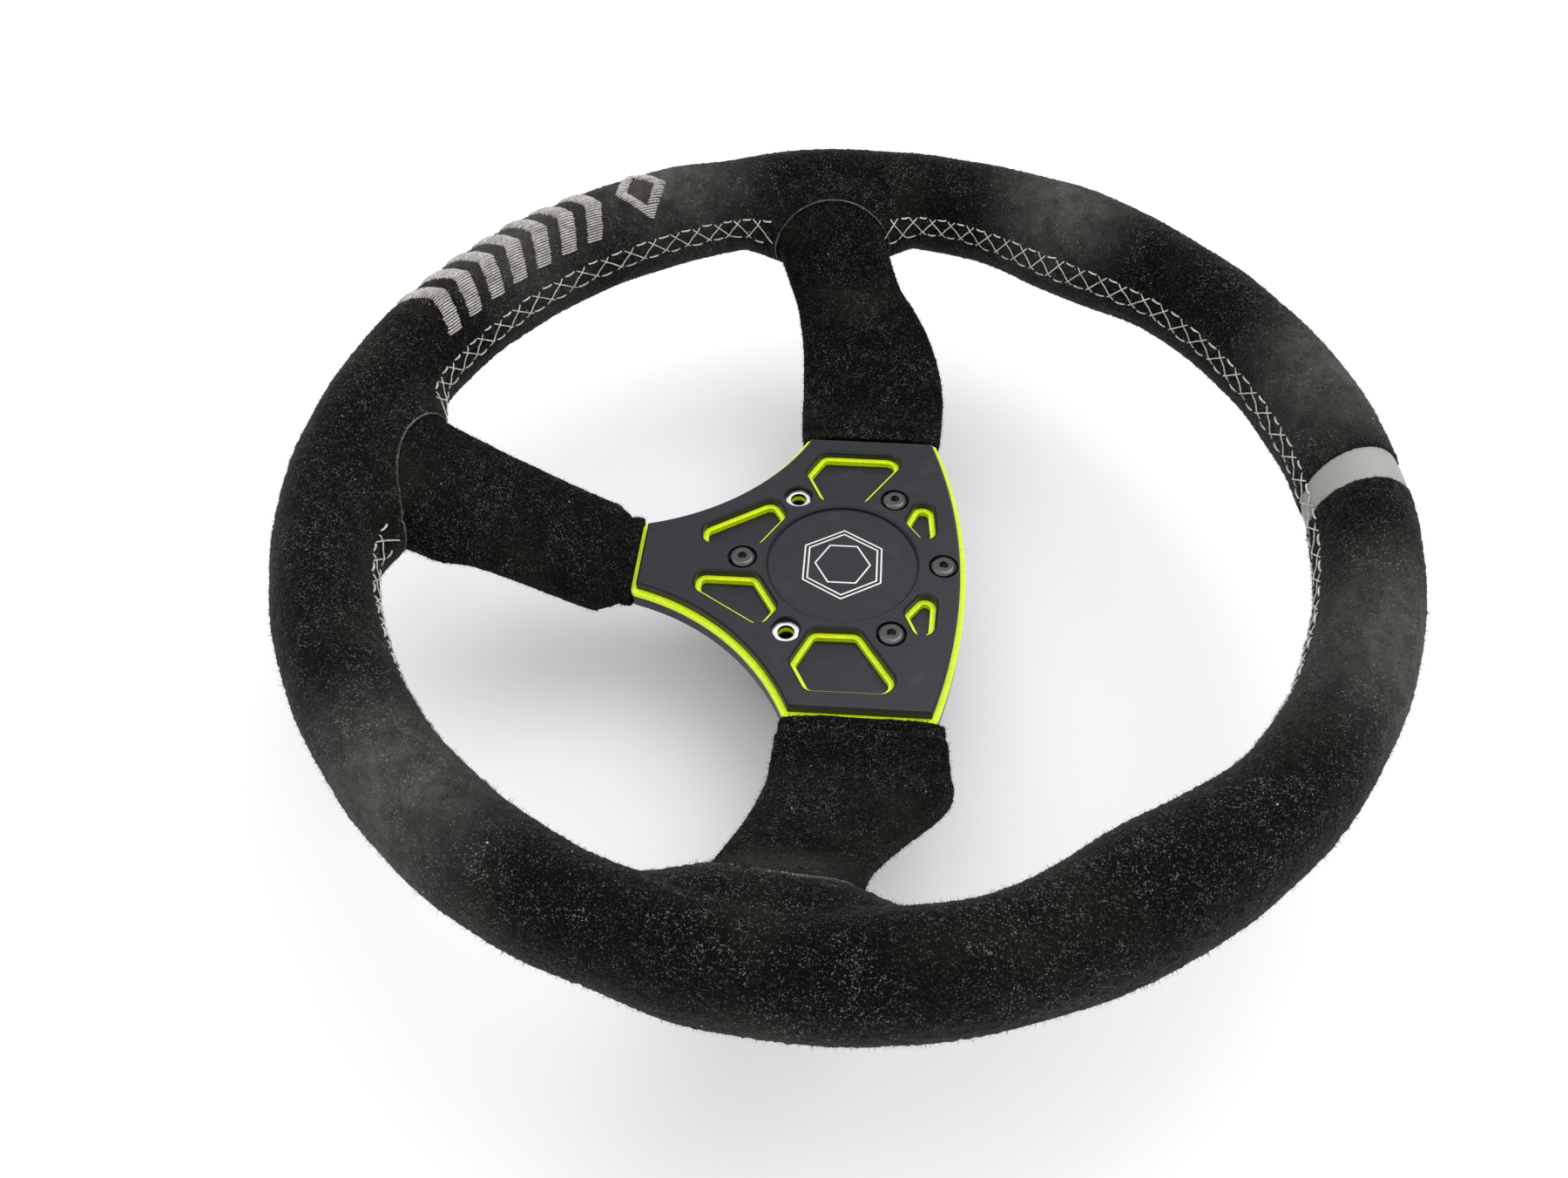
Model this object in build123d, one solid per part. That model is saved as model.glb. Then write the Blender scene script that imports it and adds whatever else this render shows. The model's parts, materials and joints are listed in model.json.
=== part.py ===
from build123d import *

import math
import os

# Quick release steering wheel: a dished three-spoke wheel with a suede grip, bolted through its
# face plate to the wheel half of a ball-lock quick release. Millimetres. The origin is on the
# steering axis at the mouth of the quick release. +Z points to the driver, +Y to twelve o'clock
# and +X to three o'clock.

# ---- Rim ----
RIM_DIAMETER = 350.0
GRIP_HALF_WIDTH = 14.5
GRIP_HALF_HEIGHT = 19.5
GRIP_RADIUS = RIM_DIAMETER / 2 - GRIP_HALF_WIDTH
SUEDE = 1.3
HOOP_SECTION_RADIUS = 6.0
BAND_WIDTH = 12.0
PANEL_GAP = 0.2

# ---- Plates, stacked on the flange of the quick release ----
FLANGE_TOP = 46.0
ARMATURE_THICKNESS = 4.7
ACCENT_THICKNESS = 2.0
FACE_THICKNESS = 3.3
ARMATURE_MIDDLE = FLANGE_TOP + ARMATURE_THICKNESS / 2
ACCENT_BOTTOM = FLANGE_TOP + ARMATURE_THICKNESS
FACE_BOTTOM = ACCENT_BOTTOM + ACCENT_THICKNESS
FACE_TOP = FACE_BOTTOM + FACE_THICKNESS
RIM_ABOVE_FACE = 40.0
RIM_HEIGHT = FACE_TOP + RIM_ABOVE_FACE

SIDE_ARM_END = 60.7
SIDE_ARM_LOW = -14.7
SIDE_ARM_HIGH = 31.1
LOWER_ARM_END = -70.2
LOWER_ARM_HALF_WIDTH = 14.0
TOP_EDGE_CROWN = 40.8
PLATE_WAIST = (30.0, -38.6)
ACCENT_BORDER = 2.0
WINDOW_LEDGE = 1.8
FACE_CHAMFER = 0.7
BADGE_RADIUS = 26.0
BADGE_DEPTH = 1.4
HORN_HOLE_RADIUS = 24.0

# ---- Six M5 positions on the bolt circle, four of them with a screw ----
BOLT_CIRCLE_RADIUS = 35.0
SCREW_ANGLES = (90, 30, 150, 270)
OPEN_ANGLES = (210, 330)
CLEARANCE_HOLE_RADIUS = 2.75
COUNTERBORE_RADIUS = 5.2
COUNTERBORE_DEPTH = 2.0
SCREW_RADIUS = 2.5
SCREW_LENGTH = 16.0
SCREW_HEAD_RADIUS = 4.75
SCREW_HEAD_HEIGHT = 2.75
SCREW_SOCKET_RADIUS = 1.73
SCREW_SOCKET_DEPTH = 1.6
THREAD_HOLE_RADIUS = 2.55
SEAT_HEIGHT = FACE_TOP - COUNTERBORE_DEPTH

# ---- Spokes ----
SPOKE_BEND_RADIUS = 82.0
SPOKE_BEND_FILLET = 22.0
SPOKE_THICKNESS = 13.6
SPOKE_ROOT = 40.0
SPOKE_BLANK_WIDTH = 140.0
SPOKE_GAP = 0.4
FOAM_FRONT_GAP = 0.3
FOAM_FIT = 0.05

# ---- Quick release, wheel half ----
FLANGE_RADIUS = 42.0
FLANGE_BOTTOM = 38.0
SLEEVE_RADIUS = 26.5
SOCKET_RADIUS = 18.0
ENTRY_RADIUS = 18.5
ENTRY_CHAMFER = 1.5
PILOT_BOTTOM = 19.0
PILOT_TOP = 28.5
MOUTH_CHAMFER = 0.6
FLANGE_NOTCH_RADIUS = 7.0
FLANGE_NOTCH_OUTSET = 3.0
RUNNING_CLEARANCE = 0.05

INSERT_BOTTOM = 30.0
INSERT_RADIUS = 19.5
INSERT_SPLINES = 24
INSERT_MINOR_RADIUS = 13.0
INSERT_MAJOR_RADIUS = 14.6
GRUB_COUNT = 3
GRUB_RADIUS = 2.5
GRUB_HEIGHT = 34.0
GRUB_TIP = 17.5
GRUB_OUTER = 26.0
GRUB_SOCKET_RADIUS = 1.25
GRUB_SOCKET_DEPTH = 2.5

BALL_COUNT = 6
BALL_RADIUS = 5.0
BALL_HEIGHT = 13.0
BALL_STAND_IN = 1.5
BALL_CENTRE_RADIUS = SOCKET_RADIUS - BALL_STAND_IN + BALL_RADIUS
COLLAR_TRAVEL = 8.0
BALL_TRAVEL = 1.6
RAMP_SLOPE = BALL_TRAVEL / COLLAR_TRAVEL
RAMP_START = 0.65

COLLAR_BOTTOM = 3.0
COLLAR_TOP = 29.0
COLLAR_RADIUS = 33.6
LOCK_RING_RADIUS = 31.2
LOCK_RING_TOP = 20.0
PULL_LIP_RADIUS = 39.0
PULL_LIP_BOTTOM = 23.5
COLLAR_FLUTES = 24
FLUTE_RADIUS = 1.6

SPRING_WIRE = 1.7
SPRING_RADIUS = 29.0
SPRING_TURNS = 3.5
SPRING_SEAT = 0.8
CLIP_GROOVE_RADIUS = 25.6
CLIP_RADIUS = 30.4
CLIP_BOTTOM = 1.4
CLIP_THICKNESS = 1.4
CLIP_GAP_ANGLE = 20.0
CLIP_EYE_ANGLE = 3.0
CLIP_EYE_RADIUS = 2.2
CLIP_EYE_HOLE_RADIUS = 0.9


def disc(radius, bottom, top):
    """A cylinder on the steering axis between two heights."""
    return Pos(0, 0, bottom) * Cylinder(
        radius, top - bottom, align=(Align.CENTER, Align.CENTER, Align.MIN))


def ring(inner, outer, bottom, top):
    """A plain ring on the steering axis."""
    return disc(outer, bottom, top) - disc(inner, bottom - 1, top + 1)


def polar(radius, angle):
    """A point in plan, from a radius and an angle in degrees."""
    turn = math.radians(angle)
    return radius * math.cos(turn), radius * math.sin(turn)


def bolt_holes(radius, bottom, top):
    """A cylinder at each of the six positions on the bolt circle."""
    return [Pos(*polar(BOLT_CIRCLE_RADIUS, angle), 0) * disc(radius, bottom, top)
            for angle in SCREW_ANGLES + OPEN_ANGLES]


def slab(outline, bottom, top):
    """A flat outline made solid between two heights."""
    return Pos(0, 0, bottom) * extrude(outline, top - bottom)


# ---- Plate outlines ----
def plate_outline():
    """The face plate: two wide side arms, a narrow lower arm and a gently crowned top."""
    top_right = (SIDE_ARM_END, SIDE_ARM_HIGH)
    side_low = (SIDE_ARM_END, SIDE_ARM_LOW)
    foot = (LOWER_ARM_HALF_WIDTH, LOWER_ARM_END)
    crown = ThreePointArc((0, TOP_EDGE_CROWN), polar_on_crown(), top_right)
    right = [crown, Line(top_right, side_low), ThreePointArc(side_low, PLATE_WAIST, foot),
             Line(foot, (0, LOWER_ARM_END))]
    left = [mirror(edge, about=Plane.YZ) for edge in right]
    return make_face(right + left)


def polar_on_crown():
    """The middle of the half arc that joins the crown to a top corner."""
    drop = TOP_EDGE_CROWN - SIDE_ARM_HIGH
    crown_radius = (SIDE_ARM_END ** 2 + drop ** 2) / (2 * drop)
    half_turn = math.asin(SIDE_ARM_END / crown_radius) / 2
    middle_drop = crown_radius * (1 - math.cos(half_turn))
    return crown_radius * math.sin(half_turn), TOP_EDGE_CROWN - middle_drop


def rounded(corners, radii):
    """A filled polygon with its own radius at each corner."""
    return make_face(FilletPolyline(*corners, radius=radii, close=True))


def windows():
    """The three lightening windows on each side of the plate, each from its own corners."""
    arm = rounded(((43, -15.6), (29.2, -9), (29, 6.8), (54, 23.3), (54, -9.7)),
                  (3.5, 3.5, 3.5, 5, 3.5))
    lower = rounded(((6.6, -50.2), (6.6, -29.6), (21, -20.9), (29.8, -26.2), (14.6, -50.2)),
                    (3.5, 3.5, 3.5, 4, 3.5))
    upper = rounded(((20.6, 21.4), (13, 27), (12.6, 32.8), (29.8, 31.6), (29.8, 25.4)),
                    (3, 3, 3.6, 3.8, 3))
    right = [arm, lower, upper]
    return right + [mirror(window, about=Plane.YZ) for window in right]


def flare(outline):
    """The chamfer cutter that runs round the top of an opening in the face plate."""
    return Pos(0, 0, FACE_TOP - FACE_CHAMFER) * extrude(outline, FACE_CHAMFER + 0.1, taper=-45)


def make_face_plate():
    """Black plate with open windows, counterbored holes and a shallow round badge recess."""
    plate = slab(plate_outline(), FACE_BOTTOM, FACE_TOP)
    plate = chamfer(plate.faces().sort_by(Axis.Z)[-1].edges(), FACE_CHAMFER)
    for window in windows():
        plate -= slab(window, FACE_BOTTOM - 1, FACE_TOP + 1)
        plate -= flare(window)
    plate -= disc(BADGE_RADIUS, FACE_TOP - BADGE_DEPTH, FACE_TOP + 1)
    plate -= flare(Circle(BADGE_RADIUS))
    for hole in bolt_holes(CLEARANCE_HOLE_RADIUS, FACE_BOTTOM - 1, FACE_TOP + 1):
        plate -= hole
    for counterbore in bolt_holes(COUNTERBORE_RADIUS, SEAT_HEIGHT, FACE_TOP + 1):
        plate -= counterbore
    return plate


def make_accent_plate():
    """Coloured plate under the face plate. It stands out all round and inside each window."""
    plate = slab(offset(plate_outline(), ACCENT_BORDER), ACCENT_BOTTOM, FACE_BOTTOM)
    for window in windows():
        plate -= slab(offset(window, -WINDOW_LEDGE), ACCENT_BOTTOM - 1, FACE_BOTTOM + 1)
    for hole in bolt_holes(CLEARANCE_HOLE_RADIUS, ACCENT_BOTTOM - 1, FACE_BOTTOM + 1):
        plate -= hole
    return plate


# ---- Rim ----
def grip_arc(section, start, end):
    """A section of the grip, centred on zero, carried round the steering axis between two angles."""
    placed = Plane.XZ * Pos(GRIP_RADIUS, RIM_HEIGHT) * section
    return Rot(0, 0, start) * revolve(placed, Axis.Z, end - start)


def grip_oval(inset):
    """The oval section of the grip, drawn in from its outer surface by inset."""
    return Ellipse(GRIP_HALF_WIDTH - inset, GRIP_HALF_HEIGHT - inset)


def grip_panel(start, end):
    """The suede of the rim between two angles."""
    return grip_arc(grip_oval(0) - grip_oval(SUEDE), start, end)


def make_hoop():
    """The steel hoop inside the grip."""
    return Pos(0, 0, RIM_HEIGHT) * Torus(GRIP_RADIUS, HOOP_SECTION_RADIUS)


# ---- Spokes ----
def spoke_strip(thickness):
    """A strip in side view: level at the hub, then rising in a straight line to the hoop."""
    path = FilletPolyline(
        (SPOKE_ROOT, ARMATURE_MIDDLE), (SPOKE_BEND_RADIUS, ARMATURE_MIDDLE),
        (GRIP_RADIUS, RIM_HEIGHT), radius=SPOKE_BEND_FILLET)
    return Plane.XZ * trace(path, thickness)


def dished(plan, thickness):
    """A spoke, drawn in plan along +X, bent up to the rim."""
    strip = extrude(spoke_strip(thickness), SPOKE_BLANK_WIDTH / 2, both=True)
    return strip & slab(plan, 0, RIM_HEIGHT + GRIP_HALF_HEIGHT)


def side_plan(inset, start):
    """A side spoke in plan. It leans towards six o'clock and widens into the rim.

    Both edges are drawn through stations along the spoke, from the hub outwards.
    """
    end = GRIP_RADIUS
    high = Spline((start, 34 - inset), (88, 33 - inset), (104, 28 - inset), (120, 18 - inset),
                  (134, 13 - inset), (end, 30 - inset), tangents=((1, 0), (0.6, 1)))
    low = Spline((start, -19.5 + inset), (96, -20.8 + inset), (112, -23.7 + inset),
                 (128, -30 + inset), (end, -58 + inset), tangents=((1, 0), (0.6, -1)))
    return make_face([high, Line(high @ 1, low @ 1), low, Line(low @ 0, high @ 0)])


def lower_plan(inset, start):
    """The lower spoke in plan, the same on both sides."""
    end = GRIP_RADIUS
    high = Spline((start, 22.5 - inset), (108, 24 - inset), (126, 26.2 - inset),
                  (140, 31.5 - inset), (end, 52 - inset), tangents=((1, 0), (0.6, 1)))
    low = mirror(high, about=Plane.XZ)
    return make_face([high, Line(high @ 1, low @ 1), low, Line(low @ 0, high @ 0)])


def side_strut():
    """The metal strut inside a side spoke, in plan."""
    return make_face(Polyline(
        (SPOKE_ROOT, 27), (82, 27), (122, 11), (GRIP_RADIUS, 11),
        (GRIP_RADIUS, -22), (122, -19), (82, -15), (SPOKE_ROOT, -15), close=True))


def lower_strut():
    """The metal strut inside the lower spoke, in plan."""
    length = GRIP_RADIUS - SPOKE_ROOT
    return Pos(SPOKE_ROOT + length / 2, 0) * Rectangle(length, 2 * LOWER_ARM_HALF_WIDTH - 1)


def place_right(part):
    """Leave a spoke at three o'clock, where it is drawn."""
    return part


def place_left(part):
    """Mirror a spoke to nine o'clock."""
    return mirror(part, about=Plane.YZ)


def place_lower(part):
    """Turn a spoke to six o'clock."""
    return Rot(0, 0, -90) * part


# Each spoke: how it is placed, its plan and where the plates end along it.
SPOKES = {
    "right": (place_right, side_plan, SIDE_ARM_END),
    "left": (place_left, side_plan, SIDE_ARM_END),
    "lower": (place_lower, lower_plan, -LOWER_ARM_END),
}


def struts():
    """The three metal struts, bent up to the hoop."""
    side = dished(side_strut(), ARMATURE_THICKNESS)
    lower = dished(lower_strut(), ARMATURE_THICKNESS)
    return [side, place_left(side), place_lower(lower)]


def make_armature():
    """One bent plate: a hub with a round horn hole, and a strut out to the hoop in each spoke."""
    plate = slab(offset(plate_outline(), ACCENT_BORDER), FLANGE_TOP, ACCENT_BOTTOM)
    for strut in struts():
        plate += strut
    plate -= make_hoop()
    plate -= disc(HORN_HOLE_RADIUS, FLANGE_TOP - 1, ACCENT_BOTTOM + 1)
    for hole in bolt_holes(CLEARANCE_HOLE_RADIUS, FLANGE_TOP - 1, ACCENT_BOTTOM + 1):
        plate -= hole
    return plate


def make_spoke(place, plan, arm_end):
    """The foam and the suede sleeve of one spoke. Both stop at the rim's outer surface.

    The foam is moulded round the strut, so the two share their space.
    """
    start = arm_end + ACCENT_BORDER + SPOKE_GAP
    core_thickness = SPOKE_THICKNESS - 2 * SUEDE
    grip = grip_arc(grip_oval(0), -90, 270)
    cover = dished(plan(0, start), SPOKE_THICKNESS) - grip
    cover -= dished(plan(SUEDE, start - 1), core_thickness)
    foam = dished(plan(SUEDE + FOAM_FIT, start + FOAM_FRONT_GAP), core_thickness - 2 * FOAM_FIT)
    return place(foam - grip), place(cover)


# Each quarter of the rim, and the angle where it starts. They meet behind the spokes and the band.
QUARTERS = {"upper_right": 0, "upper_left": 90, "lower_left": 180, "lower_right": 270}


def make_rim():
    """Four suede panels and the centre band, over foam that is moulded round the hoop in four parts."""
    half_band = math.degrees(BAND_WIDTH / 2 / GRIP_RADIUS)
    gap = math.degrees(PANEL_GAP / 2 / GRIP_RADIUS)
    parts = {"rim_centre_band": grip_panel(90 - half_band, 90 + half_band)}
    metal = struts()
    for quarter, start in QUARTERS.items():
        end = start + 90
        parts[f"rim_foam_{quarter}"] = grip_arc(grip_oval(SUEDE + FOAM_FIT), start, end)
        panel_start = start + (half_band if start == 90 else 0) + gap
        panel_end = end - (half_band if end == 90 else 0) - gap
        panel = grip_panel(panel_start, panel_end)
        for strut in metal:
            panel -= strut
        parts[f"rim_cover_{quarter}"] = panel
    return parts


# ---- Screws ----
def make_face_screws():
    """Four M5 button head screws through the plates into the flange, as one group."""
    head = Pos(0, 0, SEAT_HEIGHT) * Cylinder(
        SCREW_HEAD_RADIUS, SCREW_HEAD_HEIGHT, align=(Align.CENTER, Align.CENTER, Align.MIN))
    head = fillet(head.edges().sort_by(Axis.Z)[-1], SCREW_HEAD_HEIGHT * 0.7)
    socket = RegularPolygon(SCREW_SOCKET_RADIUS, 6)
    head -= slab(socket, SEAT_HEIGHT + SCREW_HEAD_HEIGHT - SCREW_SOCKET_DEPTH, FACE_TOP + 9)
    screw = head + disc(SCREW_RADIUS, SEAT_HEIGHT - SCREW_LENGTH, SEAT_HEIGHT)
    return Compound([Pos(*polar(BOLT_CIRCLE_RADIUS, angle), 0) * screw for angle in SCREW_ANGLES])


# ---- Quick release ----
def radial(solid, angle, height):
    """Lay a part drawn along +Z out along a radius, at an angle and a height."""
    return Rot(0, 0, angle) * Pos(0, 0, height) * Rot(0, 90, 0) * solid


def ball_angles():
    """Where the locking balls stand round the axis."""
    return [360 / BALL_COUNT * index for index in range(BALL_COUNT)]


def grub_angles():
    """Where the grub screws stand round the axis, clear of the balls."""
    return [30 + 360 / GRUB_COUNT * index for index in range(GRUB_COUNT)]


def make_coupler_body():
    """Flange and sleeve in one piece, with ball holes, a clip groove and a stepped socket.

    From the mouth the socket has a wider entry past the balls, the pilot bore, an undercut and
    the pocket of the splined insert.
    """
    body = disc(SLEEVE_RADIUS, 0, FLANGE_BOTTOM) + disc(FLANGE_RADIUS, FLANGE_BOTTOM, FLANGE_TOP)
    body = chamfer(body.edges().group_by(Axis.Z)[0], MOUTH_CHAMFER)
    body -= disc(ENTRY_RADIUS, -1, PILOT_BOTTOM)
    body -= disc(SOCKET_RADIUS, PILOT_BOTTOM - 1, PILOT_TOP + 1)
    body -= disc(ENTRY_RADIUS, PILOT_TOP, INSERT_BOTTOM)
    body -= disc(INSERT_RADIUS, INSERT_BOTTOM, FLANGE_TOP + 1)
    body -= Cone(ENTRY_RADIUS + ENTRY_CHAMFER, ENTRY_RADIUS, ENTRY_CHAMFER,
                 align=(Align.CENTER, Align.CENTER, Align.MIN))
    body -= ring(CLIP_GROOVE_RADIUS, SLEEVE_RADIUS + 1, CLIP_BOTTOM, CLIP_BOTTOM + CLIP_THICKNESS)
    for angle in ball_angles():
        body -= radial(disc(BALL_RADIUS + RUNNING_CLEARANCE, SOCKET_RADIUS - 3, SLEEVE_RADIUS + 1),
                       angle, BALL_HEIGHT)
        notch = Pos(*polar(FLANGE_RADIUS + FLANGE_NOTCH_OUTSET, angle), 0)
        body -= notch * disc(FLANGE_NOTCH_RADIUS, FLANGE_BOTTOM - 1, FLANGE_TOP + 1)
    for angle in grub_angles():
        body -= radial(disc(GRUB_RADIUS, SOCKET_RADIUS - 3, SLEEVE_RADIUS + 1), angle, GRUB_HEIGHT)
    for hole in bolt_holes(THREAD_HOLE_RADIUS, FLANGE_BOTTOM - 1, FLANGE_TOP + 1):
        body -= hole
    return body


def make_spline_insert():
    """Hardened splined ring in the top of the socket, held by three grub screws."""
    insert = ring(INSERT_MINOR_RADIUS, INSERT_RADIUS, INSERT_BOTTOM, FLANGE_TOP)
    groove_width = math.pi * INSERT_MINOR_RADIUS / INSERT_SPLINES
    groove = Pos(INSERT_MAJOR_RADIUS / 2, 0, INSERT_BOTTOM) * Box(
        INSERT_MAJOR_RADIUS, groove_width, FLANGE_TOP,
        align=(Align.CENTER, Align.CENTER, Align.MIN))
    for index in range(INSERT_SPLINES):
        insert -= Rot(0, 0, 360 / INSERT_SPLINES * index) * groove
    for angle in grub_angles():
        insert -= radial(disc(GRUB_RADIUS, GRUB_TIP, INSERT_RADIUS + 1), angle, GRUB_HEIGHT)
    return insert


def make_grub_screws():
    """Three socket grub screws through the sleeve wall into the splined insert, as one group."""
    screw = disc(GRUB_RADIUS - RUNNING_CLEARANCE, GRUB_TIP, GRUB_OUTER)
    screw -= slab(RegularPolygon(GRUB_SOCKET_RADIUS, 6), GRUB_OUTER - GRUB_SOCKET_DEPTH, GRUB_OUTER + 1)
    return Compound([radial(screw, angle, GRUB_HEIGHT) for angle in grub_angles()])


def make_release_collar():
    """The ring that the driver pulls: fluted grip below, wide lip above."""
    collar = ring(LOCK_RING_RADIUS, COLLAR_RADIUS, COLLAR_BOTTOM, COLLAR_TOP)
    collar += ring(LOCK_RING_RADIUS, PULL_LIP_RADIUS, PULL_LIP_BOTTOM, COLLAR_TOP)
    lip_edges = collar.edges().filter_by(GeomType.CIRCLE).sort_by(lambda edge: edge.radius)[-2:]
    collar = fillet(lip_edges, 1.5)
    for index in range(COLLAR_FLUTES):
        place = polar(COLLAR_RADIUS + FLUTE_RADIUS / 2, 360 / COLLAR_FLUTES * index)
        collar -= Pos(*place, 0) * disc(FLUTE_RADIUS, COLLAR_BOTTOM - 1, PULL_LIP_BOTTOM)
    return collar


def make_lock_ring():
    """Steel ring in the collar. Its land backs the balls, and its ramp lets them out."""
    land = SLEEVE_RADIUS + RUNNING_CLEARANCE
    ramp_top = BALL_HEIGHT + RAMP_START
    ramp_foot = land + RAMP_SLOPE * (ramp_top - COLLAR_BOTTOM)
    section = make_face(Polyline(
        (ramp_foot, COLLAR_BOTTOM), (LOCK_RING_RADIUS, COLLAR_BOTTOM),
        (LOCK_RING_RADIUS, LOCK_RING_TOP), (land, LOCK_RING_TOP), (land, ramp_top), close=True))
    return revolve(Plane.XZ * section, Axis.Z)


def make_collar_spring():
    """Compression spring between the lock ring and the seat under the flange."""
    bottom = LOCK_RING_TOP + SPRING_WIRE / 2 + RUNNING_CLEARANCE
    top = FLANGE_BOTTOM - SPRING_SEAT - SPRING_WIRE / 2 - RUNNING_CLEARANCE
    height = top - bottom
    coil = Helix(height / SPRING_TURNS, height, SPRING_RADIUS)
    wire = Plane(coil @ 0, z_dir=coil % 0) * Circle(SPRING_WIRE / 2)
    return Pos(0, 0, bottom) * sweep(wire, path=coil, is_frenet=True)


def make_retaining_clip():
    """Open snap ring below the collar, with an eye at each end for the pliers."""
    top = CLIP_BOTTOM + CLIP_THICKNESS
    clip = ring(CLIP_GROOVE_RADIUS, CLIP_RADIUS, CLIP_BOTTOM, top)
    mouth = make_face(Polyline(
        (0, 0), polar(60, 90 - CLIP_GAP_ANGLE / 2), polar(60, 90 + CLIP_GAP_ANGLE / 2), close=True))
    clip -= slab(mouth, CLIP_BOTTOM - 1, top + 1)
    for side in (-1, 1):
        eye = polar(CLIP_RADIUS - 0.6, 90 + side * (CLIP_GAP_ANGLE / 2 + CLIP_EYE_ANGLE))
        clip += Pos(*eye, 0) * disc(CLIP_EYE_RADIUS, CLIP_BOTTOM, top)
        clip -= Pos(*eye, 0) * disc(CLIP_EYE_HOLE_RADIUS, CLIP_BOTTOM - 1, top + 1)
    return clip


def make_quick_release():
    """Every piece of the wheel half of the quick release, locked."""
    parts = {
        "coupler_body": make_coupler_body(),
        "spline_insert": make_spline_insert(),
        "insert_grub_screws": make_grub_screws(),
        "release_collar": make_release_collar(),
        "lock_ring": make_lock_ring(),
        "collar_spring": make_collar_spring(),
        "spring_seat": ring(SLEEVE_RADIUS + 0.5, LOCK_RING_RADIUS - 0.5,
                            FLANGE_BOTTOM - SPRING_SEAT, FLANGE_BOTTOM),
        "retaining_clip": make_retaining_clip(),
    }
    for number, angle in enumerate(ball_angles(), 1):
        centre = (*polar(BALL_CENTRE_RADIUS, angle), BALL_HEIGHT)
        parts[f"locking_ball_{number}"] = Pos(*centre) * Sphere(BALL_RADIUS)
    return parts


def make_wheel():
    """Every piece of the wheel itself."""
    parts = {
        "armature": make_armature(),
        "rim_hoop": make_hoop(),
        "accent_plate": make_accent_plate(),
        "face_plate": make_face_plate(),
        "face_screws": make_face_screws(),
    }
    parts.update(make_rim())
    for side, spoke in SPOKES.items():
        foam, cover = make_spoke(*spoke)
        parts[f"spoke_foam_{side}"] = foam
        parts[f"spoke_cover_{side}"] = cover
    return parts


os.makedirs("parts", exist_ok=True)
for node, solid in {**make_wheel(), **make_quick_release()}.items():
    export_step(solid, f"parts/{node}.step")
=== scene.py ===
import json
import math

import bmesh
import bpy
import numpy as np
from mathutils import Matrix, Vector

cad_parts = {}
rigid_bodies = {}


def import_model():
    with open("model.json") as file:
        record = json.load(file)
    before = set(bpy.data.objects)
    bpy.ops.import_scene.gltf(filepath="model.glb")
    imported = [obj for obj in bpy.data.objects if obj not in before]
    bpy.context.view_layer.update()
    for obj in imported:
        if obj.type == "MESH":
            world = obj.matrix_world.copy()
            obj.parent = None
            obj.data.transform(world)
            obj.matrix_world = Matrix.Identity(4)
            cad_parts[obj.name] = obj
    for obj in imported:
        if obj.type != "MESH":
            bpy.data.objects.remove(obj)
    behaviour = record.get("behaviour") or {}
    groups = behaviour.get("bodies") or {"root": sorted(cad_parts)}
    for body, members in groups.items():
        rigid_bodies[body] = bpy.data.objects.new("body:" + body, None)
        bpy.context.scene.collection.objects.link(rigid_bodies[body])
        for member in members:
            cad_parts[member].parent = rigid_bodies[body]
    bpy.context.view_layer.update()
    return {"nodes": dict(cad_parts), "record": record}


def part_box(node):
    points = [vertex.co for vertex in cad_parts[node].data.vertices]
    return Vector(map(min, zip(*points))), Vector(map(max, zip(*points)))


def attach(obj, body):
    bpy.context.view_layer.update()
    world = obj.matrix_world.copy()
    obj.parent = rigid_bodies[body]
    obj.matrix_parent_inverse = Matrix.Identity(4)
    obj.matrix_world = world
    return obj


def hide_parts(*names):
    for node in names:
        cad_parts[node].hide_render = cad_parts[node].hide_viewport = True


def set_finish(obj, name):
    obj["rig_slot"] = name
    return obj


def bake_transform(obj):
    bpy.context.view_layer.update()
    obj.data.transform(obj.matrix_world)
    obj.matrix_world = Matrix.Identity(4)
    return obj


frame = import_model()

# The looks of a quick release steering wheel. Shapes are worked out in millimetres, in the frame
# of the CAD model: the origin at the mouth of the quick release, +Z to the driver, +Y to twelve
# o'clock and +X to three o'clock. An angle round the rim is in degrees from +X. An angle round
# the grip's oval section is in degrees too: 0 outside, 90 on top and 180 inside.

rng = np.random.default_rng(7)


def box_mm(node):
    """Lowest and highest corner of a CAD node in millimetres."""
    low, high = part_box(node)
    return np.array(low) * 1000, np.array(high) * 1000


# ---- Sizes read from the frame ----
hoop_low, hoop_high = box_mm("rim_hoop")
rim_low, rim_high = box_mm("rim_cover_upper_right")
_, face_high = box_mm("face_plate")
accent_low, _ = box_mm("accent_plate")
_, coupler_high = box_mm("coupler_body")
side_low, _ = box_mm("spoke_cover_right")
_, lower_high = box_mm("spoke_cover_lower")

GRIP_RADIUS = hoop_high[0] - (hoop_high[2] - hoop_low[2]) / 2
GRIP_HALF_WIDTH = rim_high[0] - GRIP_RADIUS
GRIP_HALF_HEIGHT = (rim_high[2] - rim_low[2]) / 2
GRIP_HEIGHT = (rim_high[2] + rim_low[2]) / 2
FACE_TOP = face_high[2]
HUB_MIDDLE = (coupler_high[2] + accent_low[2]) / 2
SIDE_START = side_low[0]
LOWER_START = -lower_high[1]

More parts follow.
